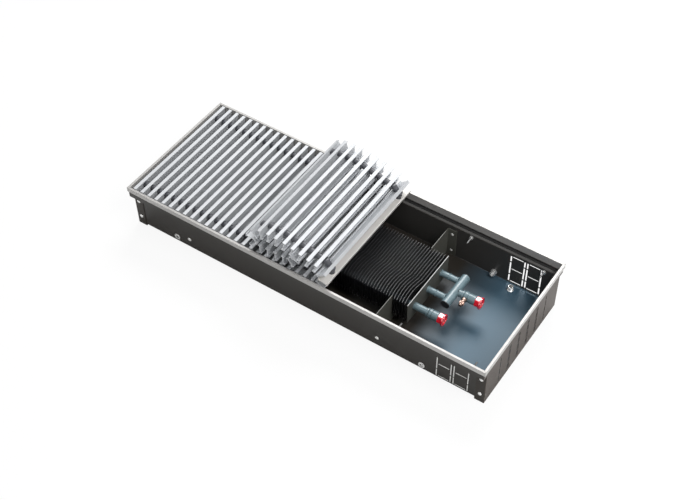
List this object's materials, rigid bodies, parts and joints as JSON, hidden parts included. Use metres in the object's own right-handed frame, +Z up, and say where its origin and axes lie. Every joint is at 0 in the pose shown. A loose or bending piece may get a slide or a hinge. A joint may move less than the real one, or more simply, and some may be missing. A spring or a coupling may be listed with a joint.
{
  "type": "trench convector heater",
  "caption": "Long sheet steel floor tray with an aluminium edge frame, a finned heat exchanger inside and a roll-up slatted grille over it, partly rolled up.",
  "frame": {"origin": "middle of the footprint, at the level the end caps stand on", "axes": "+X along the tray towards the pipe connections, +Z up"},
  "size_m": [0.8, 0.2958, 0.1721],
  "materials": {
    "black_steel": "satin powder coat",
    "frame_aluminium": "satin anodised",
    "slat_aluminium": "satin anodised",
    "rubber": "matt",
    "rivet_steel": "zinc plated",
    "fin_black": "black lacquer",
    "painted_pipe": "satin paint",
    "red_plastic": "gloss",
    "brass": "nickel plated",
    "spacer_plastic": "satin"
  },
  "bodies": {
    "tray": {"tray_trough": "black_steel", "end_cap_left": "black_steel", "end_cap_right": "black_steel", "frame_rail_front": "frame_aluminium", "frame_rail_back": "frame_aluminium", "frame_rail_left": "frame_aluminium", "frame_rail_right": "frame_aluminium", "ledge_cushions": "rubber", "end_cap_rivets": "rivet_steel", "bracket_rivets": "rivet_steel", "wall_rivet_nuts": "rivet_steel", "floor_rivet_nuts": "rivet_steel", "side_fixing_nuts": "rivet_steel", "side_fixing_screws": "rivet_steel", "support_bracket_left": "black_steel", "support_bracket_right": "black_steel", "exchanger_fins": "fin_black", "exchanger_end_plates": "black_steel", "exchanger_tubes": "painted_pipe", "supply_header": "painted_pipe", "return_header": "painted_pipe", "header_plugs": "painted_pipe", "inlet_fitting": "painted_pipe", "outlet_fitting": "painted_pipe", "air_vent_body": "brass"},
    "grille": {"flat_slats": "slat_aluminium", "flat_spacers": "spacer_plastic", "grille_cores": "rivet_steel", "core_end_stops": "rivet_steel"},
    "inlet_cap_body": {"inlet_cap": "red_plastic"},
    "outlet_cap_body": {"outlet_cap": "red_plastic"},
    "vent_screw_body": {"air_vent_screw": "brass"},
    "roll_01": {"roll_slats_01": "slat_aluminium", "roll_spacers_01": "spacer_plastic"},
    "roll_02": {"roll_slats_02": "slat_aluminium", "roll_spacers_02": "spacer_plastic"},
    "roll_03": {"roll_slats_03": "slat_aluminium", "roll_spacers_03": "spacer_plastic"},
    "roll_04": {"roll_slats_04": "slat_aluminium", "roll_spacers_04": "spacer_plastic"},
    "roll_05": {"roll_slats_05": "slat_aluminium", "roll_spacers_05": "spacer_plastic"},
    "roll_06": {"roll_slats_06": "slat_aluminium", "roll_spacers_06": "spacer_plastic"},
    "roll_07": {"roll_slats_07": "slat_aluminium", "roll_spacers_07": "spacer_plastic"},
    "roll_08": {"roll_slats_08": "slat_aluminium", "roll_spacers_08": "spacer_plastic"},
    "roll_09": {"roll_slats_09": "slat_aluminium", "roll_spacers_09": "spacer_plastic"},
    "roll_10": {"roll_slats_10": "slat_aluminium", "roll_spacers_10": "spacer_plastic"},
    "roll_11": {"roll_slats_11": "slat_aluminium", "roll_spacers_11": "spacer_plastic"},
    "roll_12": {"roll_slats_12": "slat_aluminium", "roll_spacers_12": "spacer_plastic"},
    "roll_13": {"roll_slats_13": "slat_aluminium", "roll_end_stops": "rivet_steel"}
  },
  "joints": [
    {"name": "grille_lift", "type": "slide", "parent": "tray", "child": "grille", "axis": [0, 0, 1], "range_m": [0, 0.12]},
    {"name": "roll_hinge_01", "type": "hinge", "parent": "grille", "child": "roll_01", "pos_m": [0.04375, 0, 0.097], "axis": [0, 1, 0], "range_deg": [0, 42]},
    {"name": "roll_hinge_02", "type": "hinge", "parent": "roll_01", "child": "roll_02", "pos_m": [0.05675, 0, 0.10871], "axis": [0, 1, 0], "range_deg": [0, 38]},
    {"name": "roll_hinge_03", "type": "hinge", "parent": "roll_02", "child": "roll_03", "pos_m": [0.05979, 0, 0.12594], "axis": [0, 1, 0], "range_deg": [0, 45]},
    {"name": "roll_hinge_04", "type": "hinge", "parent": "roll_03", "child": "roll_04", "pos_m": [0.04976, 0, 0.14028], "axis": [0, 1, 0], "range_deg": [0, 40]},
    {"name": "roll_hinge_05", "type": "hinge", "parent": "roll_04", "child": "roll_05", "pos_m": [-0.01786, 0, 0.1584], "axis": [0, 1, 0], "range_deg": [0, 6]},
    {"name": "roll_hinge_06", "type": "hinge", "parent": "roll_05", "child": "roll_06", "pos_m": [-0.03514, 0, 0.16113], "axis": [0, 1, 0], "range_deg": [0, 8]},
    {"name": "roll_hinge_07", "type": "hinge", "parent": "roll_06", "child": "roll_07", "pos_m": [-0.07014, 0, 0.16174], "axis": [0, 1, 0], "range_deg": [0, 12]},
    {"name": "roll_hinge_08", "type": "hinge", "parent": "roll_07", "child": "roll_08", "pos_m": [-0.08732, 0, 0.15841], "axis": [0, 1, 0], "range_deg": [0, 24]},
    {"name": "roll_hinge_09", "type": "hinge", "parent": "roll_08", "child": "roll_09", "pos_m": [-0.10165, 0, 0.14837], "axis": [0, 1, 0], "range_deg": [0, 50]},
    {"name": "roll_hinge_10", "type": "hinge", "parent": "roll_09", "child": "roll_10", "pos_m": [-0.10318, 0, 0.13093], "axis": [0, 1, 0], "range_deg": [0, 50]},
    {"name": "roll_hinge_11", "type": "hinge", "parent": "roll_10", "child": "roll_11", "pos_m": [-0.0908, 0, 0.11856], "axis": [0, 1, 0], "range_deg": [0, 47]},
    {"name": "roll_hinge_12", "type": "hinge", "parent": "roll_11", "child": "roll_12", "pos_m": [-0.02084, 0, 0.121], "axis": [0, 1, 0], "range_deg": [0, 30]},
    {"name": "roll_hinge_13", "type": "hinge", "parent": "roll_12", "child": "roll_13", "pos_m": [-0.006, 0, 0.13028], "axis": [0, 1, 0], "range_deg": [0, 42]},
    {"name": "inlet_cap_pull", "type": "slide", "parent": "tray", "child": "inlet_cap_body", "axis": [1, 0, 0], "range_m": [0, 0.03]},
    {"name": "outlet_cap_pull", "type": "slide", "parent": "tray", "child": "outlet_cap_body", "axis": [1, 0, 0], "range_m": [0, 0.03]},
    {"name": "vent_screw_turn", "type": "hinge", "parent": "tray", "child": "vent_screw_body", "pos_m": [0.267, 0.02375, 0.0495], "axis": [0, -1, 0], "range_deg": [0, 180]}
  ],
  "couplings": [
    {"joint": "roll_hinge_02", "follows": "roll_hinge_01", "ratio": 0.90476},
    {"joint": "roll_hinge_03", "follows": "roll_hinge_01", "ratio": 1.0714},
    {"joint": "roll_hinge_04", "follows": "roll_hinge_01", "ratio": 0.95238},
    {"joint": "roll_hinge_05", "follows": "roll_hinge_01", "ratio": 0.14286},
    {"joint": "roll_hinge_06", "follows": "roll_hinge_01", "ratio": 0.19048},
    {"joint": "roll_hinge_07", "follows": "roll_hinge_01", "ratio": 0.28571},
    {"joint": "roll_hinge_08", "follows": "roll_hinge_01", "ratio": 0.57143},
    {"joint": "roll_hinge_09", "follows": "roll_hinge_01", "ratio": 1.1905},
    {"joint": "roll_hinge_10", "follows": "roll_hinge_01", "ratio": 1.1905},
    {"joint": "roll_hinge_11", "follows": "roll_hinge_01", "ratio": 1.119},
    {"joint": "roll_hinge_12", "follows": "roll_hinge_01", "ratio": 0.71429},
    {"joint": "roll_hinge_13", "follows": "roll_hinge_01", "ratio": 1}
  ]
}
